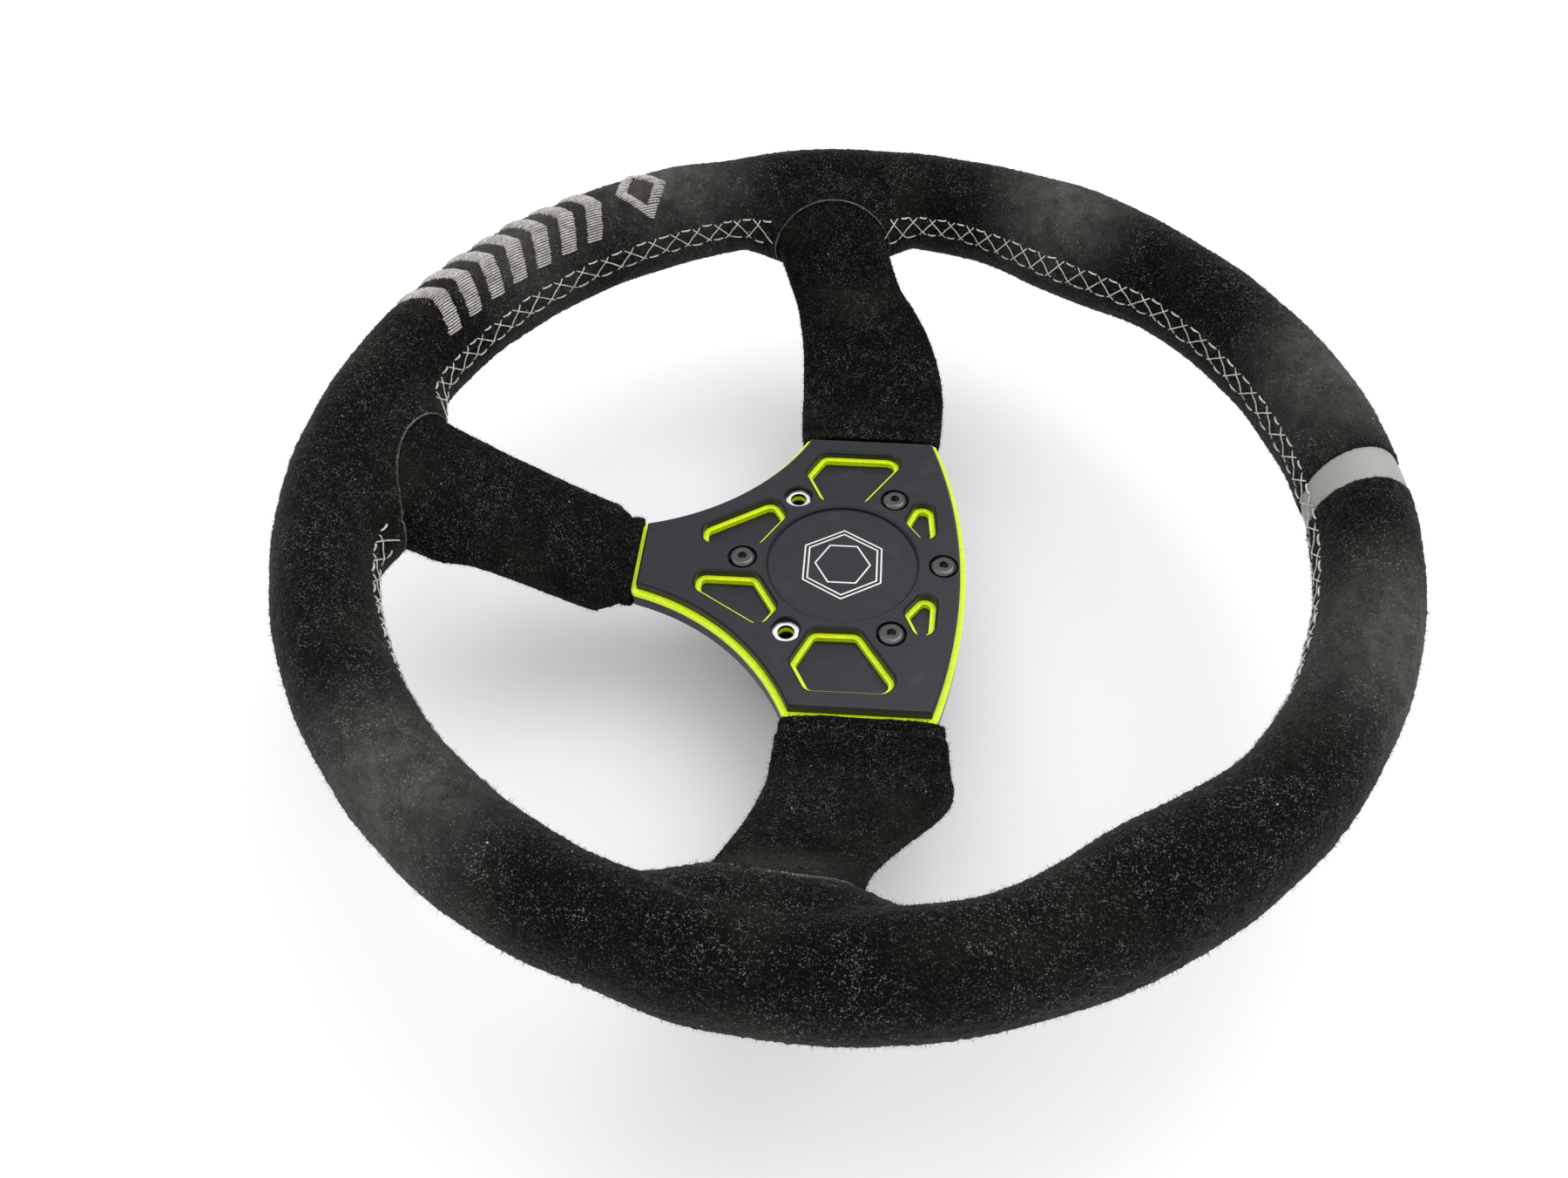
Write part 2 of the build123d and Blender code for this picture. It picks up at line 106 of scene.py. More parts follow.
# ---- Grip ----
GRIP_COLUMNS = 1120
GRIP_ROWS = 120
THUMB_REST_ANGLES = (32, 148)
THUMB_REST_HALF_SPAN = 19
THUMB_REST_RISE = 5.5
WAIST_ANGLES = (-18, -162)
WAIST_HALF_SPAN = 9
WAIST_DEPTH = 1.2
SEAM_ANGLE = 182
SEAM_HALF_WIDTH = 2.6
SEAM_DEPTH = 0.6
BAND_CENTRE = 90
BAND_HALF_SPAN = 2.14
BAND_RECESS = 0.7
BAND_CROWN = 0.25
BAND_TUCK = 0.4
# The suede's rolled edges at the band: how far they reach in degrees, and how deep they turn in.
EDGE_ROLL = 0.5
EDGE_TUCK = EDGE_ROLL / 3
EDGE_DEPTH = 1.5
WAVE_DEPTH = 0.11
GRIP_GRAIN = 0.13

# ---- Spoke sleeves ----
BEND_RADIUS = 82
BEND_SOFTNESS = 6
SLEEVE_HALF_THICKNESS = 6.8
SLEEVE_CROWN = 0.9
SLEEVE_COLUMNS = 150
SLEEVE_ROW_PITCH = 0.9
SLEEVE_GRAIN = 0.11
HEM_WIDTH = 4.5
# How much narrower a hem is than its sleeve, on each side.
HEM_STEP = {"right": 1.5, "left": 1.5, "lower": 5}
# Rings of a hem, from its turned-in edge: distance from the start, how far in from the hem's sides,
# how far in from its faces, and how square the ring is.
HEM_RINGS = (
    (3, 6, 4.5, 4), (2, 2.6, 3.0, 5), (0.3, 1.2, 1.9, 5), (0, 0.4, 1.2, 5), (0.6, 0, 0.7, 5),
    (HEM_WIDTH - 1, 0, 0.7, 5), (HEM_WIDTH, 0.3, 0.9, 5), (HEM_WIDTH + 1.5, -0.7, 0.1, 5),
)
HEM_BLEND = 5
HEM_BLEND_POWER = 4.5
# How square a sleeve's section is at the hub and at the grip, and where it changes.
SLEEVE_POWER = (3.6, 2.7)
SLEEVE_POWER_SPAN = (96, 128)

# Stations along a spoke: distance from the axis, then the lowest and highest point across it. The
# left and right sleeves differ a little.
STATIONS = {
    "right": ((82, -18.8, 37), (88, -19, 37.4), (96, -20.3, 32.6), (104, -22, 25.8),
              (112, -24.4, 19.8), (120, -27.5, 14.6), (128, -30.5, 11.8)),
    "left": ((82, -19.5, 35.5), (88, -19.5, 35.5), (96, -20, 34.2), (104, -20.6, 31.6),
             (112, -22, 27.8), (120, -24, 22.6), (128, -27.5, 16.5)),
    "lower": ((84, -23.8, 20.8), (96, -24.4, 20.6), (108, -25.3, 20.8), (120, -26.5, 22),
              (130, -27.7, 25.4)),
}

# Where each sleeve ends on the grip: an oval, by its centre and half size in rim and section angle.
# The rings under its edge are given as a share of the way out, with how far they stand off.
JOINTS = {
    "right": (-4.7, 9.4, 200, 47),
    "left": (184.7, 9.4, 200, 47),
    "lower": (-89.5, 10.6, 200, 45),
}
JOINT_POWER = 2.2
JOINT_RINGS = ((0.93, -0.4), (0.985, -1.7))
JOINT_STEP = 1.6
JOINT_STEP_SPAN = (0.93, 0.99)
RAW_EDGE_RADIUS = 0.38
RAW_EDGE_UNEVEN = 0.1
RAW_EDGE_WANDER = 0.006
# The grip is padded out round each oval, up to BOSS_FADE[0] of its size and fading to BOSS_FADE[1].
# The padding's middle is shifted round the rim by a few tenths of a degree at most.
BOSS_RISE = 7.8
BOSS_FADE = (0.85, 1.65)
BOSS_SHIFT = {"right": 0.0, "left": 0.3, "lower": 0.0}

# ---- Stitching ----
STITCH_HEIGHT = 95.0
STITCH_HALF_HEIGHT = 3.7
STITCH_PITCH = 9.0
STITCH_PITCH_SPREAD = 0.17
STITCH_SHIFT = 0.25
STITCH_JITTER = 0.16
THREAD_RADIUS = 0.24
THREAD_DIVE = 0.3
THREAD_POINTS = 7
# Spans between the sleeves, each from a higher rim angle down to a lower one.
STITCH_SPANS = {"upper": (175.5, 4.5), "lower_right": (-14.4, -78.0), "lower_left": (-101.2, -165.8)}

# ---- Embroidery ----
EMBROIDERY_START = -110
EMBROIDERY_SECTION = 57
EMBROIDERY_HEIGHT = 25.5
CHEVRON_COUNT = 7
CHEVRON_PITCH = 12.4
CHEVRON_SWEEP = 6.0
CHEVRON_WIDTH = 6.6
DIAMOND_HALF_WIDTH = 10.5
DIAMOND_LINE = 4.6
DIAMOND_GAP = 1
DIAMOND_TIP = 1
SATIN_PITCH = 0.85
SATIN_RADIUS = 0.37
SATIN_SIDES = 5
SATIN_RAGGED = 0.14
SATIN_PUFF = (0.15, 0.4)

# ---- Nap ----
NAP_PER_POINT = 0.5
NAP_LENGTH = (0.7, 2.3)
NAP_WIDTH = 0.13
NAP_RISE = (0.05, 1.2)
NAP_ROOT_DEPTH = 0.1

# ---- Hub plates ----
BADGE_DEPTH = 1.4
COUNTERBORE_DEPTH = 2.0
MOTIF_RADIUS = 15.5
MOTIF_LINE = 0.55
MOTIF_RISE = 0.04
MOTIF_DOUBLE = 1.7
MOTIF_INNER_SHARE = 0.62
BARE_RING_INNER = 2.9
BARE_RING_OUTER = 4.4
BARE_RING_RISE = 0.06

# ---- Colours of dirt and wear, and of painted highlight on the grip ----
GROUND_DUST = (0.0085, 0.0075, 0.0052)
LINT = (0.42, 0.42, 0.4)
LEATHER_MARK = (0.16, 0.15, 0.14)
METAL_DUST = (0.3, 0.29, 0.28)
# Layers of fibre in the suede: cells in a metre, length and width in cells, shift and weight.
FIBRES = ((700, 0.7, 0.2, 3.0, 0.5), (1150, 0.75, 0.26, 11.0, 0.8), (1800, 0.8, 0.34, 23.0, 0.7))
# Patches of wear on the grip, which also paint a highlight on its upper surfaces where the light falls:
# rim angle, section angle and reach in metres.
WORN_AND_HIGHLIT_PATCHES = ((-128, 60, 0.05), (-152, 75, 0.05), (105, 70, 0.045), (66, 40, 0.05),
                (-40, 70, 0.045), (150, 120, 0.04))

# ---- Light and camera, in metres ----
LAMP_TARGET = (0, 0, 0.05)
WORLD_STRENGTH = 1.12
CAMERA_PLACE = (0.25796, 0.00573, 0.3598)
CAMERA_RIGHT = (-0.0601, 0.99818, 0.0045)
CAMERA_FORWARD = (-0.62753, -0.03428, -0.77784)
LENS_MM = 26.33
LENS_SHIFT = -0.022


# ---- Mesh helpers ----
def add_mesh(name, vertices, faces, material):
    """A new smooth mesh object from vertices in millimetres, with its normals facing out."""
    mesh = bpy.data.meshes.new(name)
    mesh.from_pydata((np.asarray(vertices) / 1000).tolist(), [], np.asarray(faces).tolist())
    edit = bmesh.new()
    edit.from_mesh(mesh)
    bmesh.ops.recalc_face_normals(edit, faces=edit.faces)
    edit.to_mesh(mesh)
    edit.free()
    mesh.shade_smooth()
    mesh.materials.append(material)
    piece = bpy.data.objects.new(name, mesh)
    bpy.context.scene.collection.objects.link(piece)
    return piece


def grid_faces(rows, columns, closed):
    """Quads of a grid of points, row by row. closed joins the last column to the first."""
    row, column = np.meshgrid(np.arange(rows - 1), np.arange(columns - 1 + closed), indexing="ij")
    following = (column + 1) % columns
    corners = (row * columns + column, row * columns + following,
               (row + 1) * columns + following, (row + 1) * columns + column)
    return np.stack(corners, axis=-1).reshape(-1, 4)


def unit(vectors):
    """Vectors scaled to length one."""
    return vectors / np.linalg.norm(vectors, axis=-1, keepdims=True)


def tube(path, normals, radius, sides=6):
    """Vertices and quads of an open tube along a path that lies on a surface."""
    tangents = unit(np.gradient(path, axis=0))
    across = unit(np.cross(tangents, normals))
    up = np.cross(across, tangents)
    turn = np.linspace(0, 2 * np.pi, sides, endpoint=False)
    ring = (across[:, None] * np.cos(turn)[None, :, None] + up[:, None] * np.sin(turn)[None, :, None])
    radii = np.broadcast_to(radius, len(path))
    vertices = path[:, None] + ring * radii[:, None, None]
    return vertices.reshape(-1, 3), grid_faces(len(path), sides, True)


def merged(parts):
    """Several pairs of vertices and faces as one."""
    counts = np.cumsum([0] + [len(vertices) for vertices, _ in parts])
    vertices = np.concatenate([vertices for vertices, _ in parts])
    faces = np.concatenate([faces + count for (_, faces), count in zip(parts, counts)])
    return vertices, faces


def bump(value, centre, half_span):
    """One at the centre, falling smoothly to nothing at half_span. Angles wrap round."""
    away = np.abs((value - centre + 180) % 360 - 180) / half_span
    return np.cos(np.minimum(away, 1) * np.pi / 2) ** 2


def smooth_step(value, low, high):
    """Nought below low and one above high, smooth between."""
    share = np.clip((value - low) / (high - low), 0, 1)
    return share * share * (3 - 2 * share)


# ---- Grip surface ----
def joint_distance(around, section, joint):
    """How far a point on the grip is from the middle of a sleeve's end. It is one on the edge."""
    centre, half_span, section_centre, section_half = joint
    along = ((around - centre + 180) % 360 - 180) / half_span
    return np.hypot(along, ((section - section_centre + 180) % 360 - 180) / section_half)


def grip_lift(around, section):
    """How far the suede stands off the plain oval."""
    inward = (0.5 - 0.5 * np.cos(np.radians(section))) ** 1.5
    outward = 1 - inward
    lift = sum(THUMB_REST_RISE * inward * bump(around, angle, THUMB_REST_HALF_SPAN)
               for angle in THUMB_REST_ANGLES)
    lift = lift - sum(WAIST_DEPTH * outward * bump(around, angle, WAIST_HALF_SPAN)
                      for angle in WAIST_ANGLES)
    lift = lift - SEAM_DEPTH * np.exp(-((section - SEAM_ANGLE) / SEAM_HALF_WIDTH) ** 2)
    for side, (centre, *rest) in JOINTS.items():
        away = joint_distance(around, section, (centre + BOSS_SHIFT[side], *rest))
        lift = lift + BOSS_RISE * (1 - smooth_step(away, *BOSS_FADE))
    a, s = np.radians(around), np.radians(section)
    waves = np.sin(9 * a + 1) * np.sin(2 * s + 2) + np.sin(17 * a + 2 * s) + np.sin(31 * a - 3 * s)
    return lift + WAVE_DEPTH * waves


def on_grip(around, section, lift=0.0):
    """Points on the grip, and the directions out of its surface."""
    around, section = np.broadcast_arrays(np.asarray(around, float), np.asarray(section, float))
    a, s = np.radians(around), np.radians(section)
    flat = np.stack([GRIP_HALF_HEIGHT * np.cos(s), GRIP_HALF_WIDTH * np.sin(s)], axis=-1)
    out, rise = np.moveaxis(unit(flat), -1, 0)
    stand = grip_lift(around, section) + lift
    radius = GRIP_RADIUS + GRIP_HALF_WIDTH * np.cos(s) + out * stand
    height = GRIP_HEIGHT + GRIP_HALF_HEIGHT * np.sin(s) + rise * stand
    points = np.stack([radius * np.cos(a), radius * np.sin(a), height], axis=-1)
    normals = np.stack([out * np.cos(a), out * np.sin(a), rise], axis=-1)
    return points, normals


def make_grip(material):
    """Four suede panels in one skin, sunk under each sleeve's end and rolled in at the band."""
    gap = BAND_HALF_SPAN
    around = np.linspace(BAND_CENTRE + gap - 360, BAND_CENTRE - gap, GRIP_COLUMNS)
    around = np.concatenate([[around[0] - EDGE_TUCK], around, [around[-1] + EDGE_TUCK]])
    section = np.linspace(0, 360, GRIP_ROWS, endpoint=False)
    a, s = np.meshgrid(around, section, indexing="ij")
    from_band = np.abs((a - BAND_CENTRE + 180) % 360 - 180) - gap
    lift = -EDGE_DEPTH * (1 - smooth_step(from_band, -EDGE_TUCK, EDGE_ROLL)) ** 1.5
    for joint in JOINTS.values():
        lift -= JOINT_STEP * (1 - smooth_step(joint_distance(a, s, joint), *JOINT_STEP_SPAN))
    lift += rng.normal(0, GRIP_GRAIN, a.shape)
    points, _ = on_grip(a, s, lift)
    quarters = {"lower_left": (-180, -90), "lower_right": (-90, 0),
                "upper_right": (0, 90), "upper_left": (-280, -180)}
    for quarter, (start, end) in quarters.items():
        inside = np.flatnonzero((around >= start) & (around <= end))
        rows = np.arange(inside[0], min(inside[-1] + 2, len(around)))
        faces = grid_faces(len(rows), GRIP_ROWS, True)
        piece = add_mesh(f"rim_suede_{quarter}", points[rows].reshape(-1, 3), faces, material)
        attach(piece, "wheel")
        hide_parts(f"rim_cover_{quarter}", f"rim_foam_{quarter}")
        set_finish(piece, "suede")


def make_band(material):
    """The smooth leather mark at twelve o'clock, a little below the suede."""
    reach = BAND_HALF_SPAN + BAND_TUCK
    around = np.linspace(BAND_CENTRE - reach, BAND_CENTRE + reach, 26)
    section = np.linspace(0, 360, 2 * GRIP_ROWS, endpoint=False)
    a, s = np.meshgrid(around, section, indexing="ij")
    crown = BAND_CROWN * (1 - ((a - BAND_CENTRE) / BAND_HALF_SPAN) ** 2)
    points, _ = on_grip(a, s, crown - BAND_RECESS)
    piece = add_mesh("rim_band_leather", points.reshape(-1, 3),
                     grid_faces(len(around), len(section), True), material)
    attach(piece, "wheel")
    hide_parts("rim_centre_band")
    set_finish(piece, "band")


# ---- Sleeves ----
def spoke_height(distance):
    """Height of a spoke's middle: level at the hub, then straight up to the hoop."""
    slope = (GRIP_HEIGHT - HUB_MIDDLE) / (GRIP_RADIUS - BEND_RADIUS)
    past = distance - BEND_RADIUS
    return HUB_MIDDLE + slope * (past + math.hypot(past, BEND_SOFTNESS)) / 2


def oval(turn, power):
    """A rounded rectangle of half size one. A higher power is squarer."""
    cosine, sine = np.cos(turn), np.sin(turn)
    return (np.sign(cosine) * np.abs(cosine) ** (2 / power),
            np.sign(sine) * np.abs(sine) ** (2 / power))


def spoke_ring(turn, distance, low, high, half_thickness, power):
    """A ring round the spoke, drawn along +X and square to its middle line."""
    step = 0.5
    rise = (spoke_height(distance + step) - spoke_height(distance - step)) / (2 * step)
    tilt = math.atan(rise)
    across, thick = oval(turn, power)
    thick = thick * (half_thickness + SLEEVE_CROWN * (1 - across ** 2))
    return np.stack([distance - thick * math.sin(tilt),
                     (low + high) / 2 + across * (high - low) / 2,
                     spoke_height(distance) + thick * math.cos(tilt)], axis=-1)


def joint_ring(turn, joint, share, lift, mirrored):
    """A ring on the grip, a share of the way out to the edge of the sleeve's end."""
    centre, half_span, section_centre, section_half = joint
    along, up = oval(turn, JOINT_POWER)
    if mirrored:
        along = -along
    points, _ = on_grip(centre + share * half_span * along,
                        section_centre - share * section_half * up, lift)
    return points


def smooth_rings(rings):
    """Rings filled in along a smooth curve through the given ones, about evenly spaced."""
    rings = np.array(rings)
    before = np.concatenate([[2 * rings[0] - rings[1]], rings, [2 * rings[-1] - rings[-2]]])
    rows = []
    for index in range(len(rings) - 1):
        a, b, c, d = before[index:index + 4]
        count = max(2, round(np.linalg.norm(c - b, axis=-1).max() / SLEEVE_ROW_PITCH))
        for share in np.arange(count) / count:
            rows.append(0.5 * (2 * b + (c - a) * share + (2 * a - 5 * b + 4 * c - d) * share ** 2
                               + (3 * b - a - 3 * c + d) * share ** 3))
    return np.array(rows + [rings[-1]])


def make_sleeve(side, place, start, material):
    """The suede sleeve of one spoke, from its hem at the plates to its end on the grip."""
    turn = np.linspace(0, 2 * np.pi, SLEEVE_COLUMNS, endpoint=False)
    _, low, high = STATIONS[side][0]
    neck_low, neck_high = low + HEM_STEP[side], high - HEM_STEP[side]
    half = SLEEVE_HALF_THICKNESS
    hem = [(start + distance, neck_low + inset, neck_high - inset, half - sunk, power)
           for distance, inset, sunk, power in HEM_RINGS]
    hem.append((start + HEM_WIDTH + HEM_BLEND, (neck_low + 2 * low) / 3, (neck_high + 2 * high) / 3,
                half, HEM_BLEND_POWER))
    rings = [place(spoke_ring(turn, *ring)) for ring in hem]
    for distance, low, high in STATIONS[side]:
        change = (SLEEVE_POWER[0] - SLEEVE_POWER[1]) * smooth_step(distance, *SLEEVE_POWER_SPAN)
        power = SLEEVE_POWER[0] - change
        rings.append(place(spoke_ring(turn, distance, low, high, half, power)))
    joint = JOINTS[side]
    mirrored = side == "left"
    for share, lift in JOINT_RINGS:
        rings.append(joint_ring(turn, joint, share, lift, mirrored))
    rows = smooth_rings(rings)
    rows = rows + rng.normal(0, SLEEVE_GRAIN, rows.shape)
    piece = add_mesh(f"spoke_sleeve_{side}", rows.reshape(-1, 3),
                     grid_faces(len(rows), SLEEVE_COLUMNS, True), material)
    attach(piece, "wheel")
    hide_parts(f"spoke_cover_{side}", f"spoke_foam_{side}")
    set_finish(piece, "suede")


def make_sleeves(material):
    """The three sleeves, each drawn along +X and then mirrored or turned into place."""
    make_sleeve("right", lambda ring: ring, SIDE_START, material)
    make_sleeve("left", lambda ring: ring * (-1, 1, 1), SIDE_START, material)
    make_sleeve("lower", lambda ring: np.stack([ring[:, 1], -ring[:, 0], ring[:, 2]], axis=-1),
                LOWER_START, material)


def make_joint_edges(material):
    """The raw edge of the grip's suede round the end of each sleeve, pale from wear and from a painted
    highlight along it.
    """
    parts = []
    for joint in JOINTS.values():
        centre, half_span, section_centre, section_half = joint
        turn = np.linspace(0, 2 * np.pi, 240)
        along, up = oval(turn, 2.0)
        wander = rng.normal(0, RAW_EDGE_WANDER, len(turn))
        share = 1.0 + np.convolve(wander, np.ones(5) / 5, "same")
        path, normals = on_grip(centre + share * half_span * along,
                                section_centre - share * section_half * up, 0.0)
        uneven = rng.normal(0, RAW_EDGE_UNEVEN, len(turn))
        radius = RAW_EDGE_RADIUS + np.convolve(uneven, np.ones(3) / 3, "same")
        parts.append(tube(path, normals, radius))
    piece = add_mesh("rim_suede_raw_edges", *merged(parts), material)
    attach(piece, "wheel")
    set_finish(piece, "suede")


def make_nap(material):
    """Loose fibres that stand off the suede and soften its outline, each a thin sliver."""
    roots, normals = [], []
    for piece in [o for o in bpy.data.objects if o.get("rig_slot") == "suede"]:
        count = len(piece.data.vertices)
        points, outward = np.empty(count * 3), np.empty(count * 3)
        piece.data.vertices.foreach_get("co", points)
        piece.data.vertex_normals.foreach_get("vector", outward)
        chosen = rng.choice(count, round(count * NAP_PER_POINT), replace=False)
        roots.append(points.reshape(-1, 3)[chosen] * 1000)
        normals.append(outward.reshape(-1, 3)[chosen])
    roots, normals = np.concatenate(roots), np.concatenate(normals)
    count = len(roots)
    lean = rng.normal(0, 1, (count, 3))
    lean = unit(lean - normals * np.sum(lean * normals, axis=-1, keepdims=True))
    rise = rng.uniform(*NAP_RISE, (count, 1))
    length = rng.uniform(*NAP_LENGTH, (count, 1))
    across = unit(np.cross(lean, normals)) * NAP_WIDTH / 2
    base = roots - normals * NAP_ROOT_DEPTH
    tip = roots + unit(lean + normals * rise) * length
    vertices = np.stack([base - across, base + across, tip], axis=1).reshape(-1, 3)
    piece = add_mesh("suede_nap", vertices, np.arange(count * 3).reshape(-1, 3), material)
    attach(piece, "wheel")
    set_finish(piece, "suede")


# ---- Threads ----
def thread(start, end, radius, puff, sides=6):
    """A stitch between two points on the grip, given as rim and section angle. It dives in at both."""
    share = 0.5 - 0.5 * np.cos(np.linspace(0, np.pi, THREAD_POINTS))
    around = start[0] + (end[0] - start[0]) * share
    section = start[1] + (end[1] - start[1]) * share
    lift = -THREAD_DIVE + (THREAD_DIVE + radius + puff) * np.sin(np.pi * share) ** 0.4
    path, normals = on_grip(around, section, lift)
    return tube(path, normals, radius, sides)


def stitch_point(along, height, inner_radius, start):
    """Rim and section angle of a point on the stitched seam, in millimetres along and up it."""
    lean = np.degrees(np.arcsin((STITCH_HEIGHT + height - GRIP_HEIGHT) / GRIP_HALF_HEIGHT))
    return start - np.degrees(along / inner_radius), 180 - lean


def make_stitching(material):
    """Cross stitches that lace the two edges of the suede together inside the grip."""
    inner_radius = GRIP_RADIUS - GRIP_HALF_WIDTH
    top, bottom = STITCH_HALF_HEIGHT, -STITCH_HALF_HEIGHT
    # Each stitch: start and end along the pitch and up the seam, thickness and puff.
    pattern = (
        ((0.0, top), (0.94, bottom), 1.0, 0.15),
        ((0.39, top), (-0.42, bottom), 1.0, 0.4),
        ((0.52, top), (0.91, top), 1.35, 0.1),
        ((0.0, bottom), (0.42, bottom), 1.2, 0.1),
    )
    for name, (start, end) in STITCH_SPANS.items():
        length = math.radians(start - end) * inner_radius
        count = round(length / STITCH_PITCH)
        marks = np.arange(count + 1) / count
        marks = marks - STITCH_PITCH_SPREAD * np.sin(2 * np.pi * marks) / (2 * np.pi)
        parts = []
        for begin, finish in zip(marks[:-1] * length, marks[1:] * length):
            pitch = finish - begin
            shift = rng.normal(0, STITCH_SHIFT)
            for (u0, v0), (u1, v1), thickness, puff in pattern:
                jitter = rng.normal(0, STITCH_JITTER, 4)
                first = stitch_point(begin + shift + u0 * pitch + jitter[0], v0 + jitter[1],
                                     inner_radius, start)
                last = stitch_point(begin + shift + u1 * pitch + jitter[2], v1 + jitter[3],
                                    inner_radius, start)
                parts.append(thread(first, last, THREAD_RADIUS * thickness, puff))
        piece = add_mesh(f"rim_stitching_{name}", *merged(parts), material)
        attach(piece, "wheel")


def section_arc():
    """Section angles and the length of the oval up to each of them."""
    section = np.arange(0, 361.0)
    s = np.radians(section)
    outline = np.stack([GRIP_HALF_WIDTH * np.cos(s), GRIP_HALF_HEIGHT * np.sin(s)], axis=-1)
    steps = np.linalg.norm(np.diff(outline, axis=0), axis=-1)
    return section, np.concatenate([[0], np.cumsum(steps)])


def make_embroidery(material):
    """A row of plain chevrons and an open diamond in satin stitch, low on the left of the grip."""
    section, arc = section_arc()
    arc_start = np.interp(EMBROIDERY_SECTION, section, arc)

    def placed(point):
        around = EMBROIDERY_START - math.degrees(point[0] / GRIP_RADIUS)
        return around, np.interp(arc_start + point[1], arc, section)

    def satin(left, right, height):
        """A stitch along the rim, its ends a little uneven."""
        ends = rng.normal(0, SATIN_RAGGED, 2)
        first = (left + ends[0], height - SATIN_PITCH / 3)
        last = (right + ends[1], height + SATIN_PITCH / 3)
        puff = rng.uniform(*SATIN_PUFF)
        return thread(placed(first), placed(last), SATIN_RADIUS, puff, sides=SATIN_SIDES)

    parts = []
    middle = EMBROIDERY_HEIGHT / 2
    row_end = CHEVRON_COUNT * CHEVRON_PITCH + CHEVRON_SWEEP
    centre = row_end + DIAMOND_GAP + DIAMOND_HALF_WIDTH
    for height in np.arange(SATIN_PITCH / 2, EMBROIDERY_HEIGHT, SATIN_PITCH):
        share = 1 - abs(height - middle) / middle
        for index in range(CHEVRON_COUNT):
            left = index * CHEVRON_PITCH + CHEVRON_SWEEP * share
            parts.append(satin(left, left + CHEVRON_WIDTH, height))
        outer = DIAMOND_HALF_WIDTH * share
        if outer > DIAMOND_LINE:
            parts.append(satin(centre - outer, centre - outer + DIAMOND_LINE, height))
            parts.append(satin(centre + outer - DIAMOND_LINE, centre + outer, height))
        elif outer > DIAMOND_TIP:
            parts.append(satin(centre - outer, centre + outer, height))
    piece = add_mesh("rim_embroidery", *merged(parts), material)
    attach(piece, "wheel")


# ---- Hub plates ----
def flat_loop(points, width, height, thickness):
    """A closed flat line of even width with mitred corners, a little proud of a flat face."""
    before, after = np.roll(points, 1, axis=0), np.roll(points, -1, axis=0)
    inward, outward = unit(points - before), unit(after - points)
    bisector = unit(inward + outward)
    normal = np.stack([-bisector[:, 1], bisector[:, 0]], axis=-1)
    share = np.sum(bisector * inward, axis=-1, keepdims=True)
    reach = normal * width / 2 / share
    rails = [points - reach, points - reach * 0.9, points + reach * 0.9, points + reach]
    rises = [0, thickness, thickness, 0]
    rows = [np.column_stack([rail, np.full(len(points), height + rise)])
            for rail, rise in zip(rails, rises)]
    return np.concatenate(rows), grid_faces(4, len(points), True)


def hexagon(radius, turn):
    """Corners of a hexagon in plan, round the axis."""
    angles = np.radians(turn + 60 * np.arange(6))
    return np.stack([radius * np.cos(angles), radius * np.sin(angles)], axis=-1)


def make_motif(material):
    """A plain badge etched in the round recess: a double hexagon with a turned one inside."""
    floor = FACE_TOP - BADGE_DEPTH
    outlines = ((MOTIF_RADIUS, 0), (MOTIF_RADIUS - MOTIF_DOUBLE, 0),
                (MOTIF_RADIUS * MOTIF_INNER_SHARE, 30))
    parts = [flat_loop(hexagon(radius, turn), MOTIF_LINE, floor, MOTIF_RISE)
             for radius, turn in outlines]
    piece = add_mesh("badge_motif", *merged(parts), material)
    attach(piece, "wheel")
    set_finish(piece, "face")


def make_bare_rings(material):
    """Bright rings where screw heads have rubbed the black off the floor of the two open holes."""
    mount = next(m for m in frame["record"]["mounts"] if m["name"] == "open_bolt_holes")
    reach = mount["dims"]["spacing_x_mm"] / 2
    height = FACE_TOP - COUNTERBORE_DEPTH
    radii = np.array([BARE_RING_INNER, BARE_RING_INNER + 0.2, BARE_RING_OUTER - 0.3, BARE_RING_OUTER])
    rises = np.array([0, BARE_RING_RISE, BARE_RING_RISE, 0])
    middle = (BARE_RING_INNER + BARE_RING_OUTER) / 2
    turn = np.linspace(0, 2 * np.pi, 64, endpoint=False)
    parts = []
    for side in (-1, 1):
        wear = 1 + 0.05 * np.sin(3 * turn + side) + 0.03 * np.sin(7 * turn)
        outer = np.where(radii[:, None] > middle, wear, 1)
        circles = [np.column_stack([
            side * reach + radius * share * np.cos(turn),
            mount["pos_m"][1] * 1000 + radius * share * np.sin(turn),
            np.full(len(turn), height + rise)]) for radius, share, rise in zip(radii, outer, rises)]
        parts.append((np.concatenate(circles), grid_faces(4, len(turn), True)))
    piece = add_mesh("open_hole_bare_rings", *merged(parts), material)
    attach(piece, "wheel")
    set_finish(piece, "insert")


def make_spring(material):
    """The collar's spring, copied in place from its CAD node. It is attached to no body, so it does not
    follow the collar.
    """
    node = frame["nodes"]["collar_spring"]
    mesh = node.data.copy()
    mesh.transform(node.matrix_world)
    mesh.materials.clear()
    mesh.materials.append(material)
    piece = bpy.data.objects.new("collar_spring_coil", mesh)
    bpy.context.scene.collection.objects.link(piece)
    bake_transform(piece)
    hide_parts("collar_spring")


# ---- Materials ----
# A whole turn in radians, near enough for fibres at random angles.
FULL_TURN = 6.28


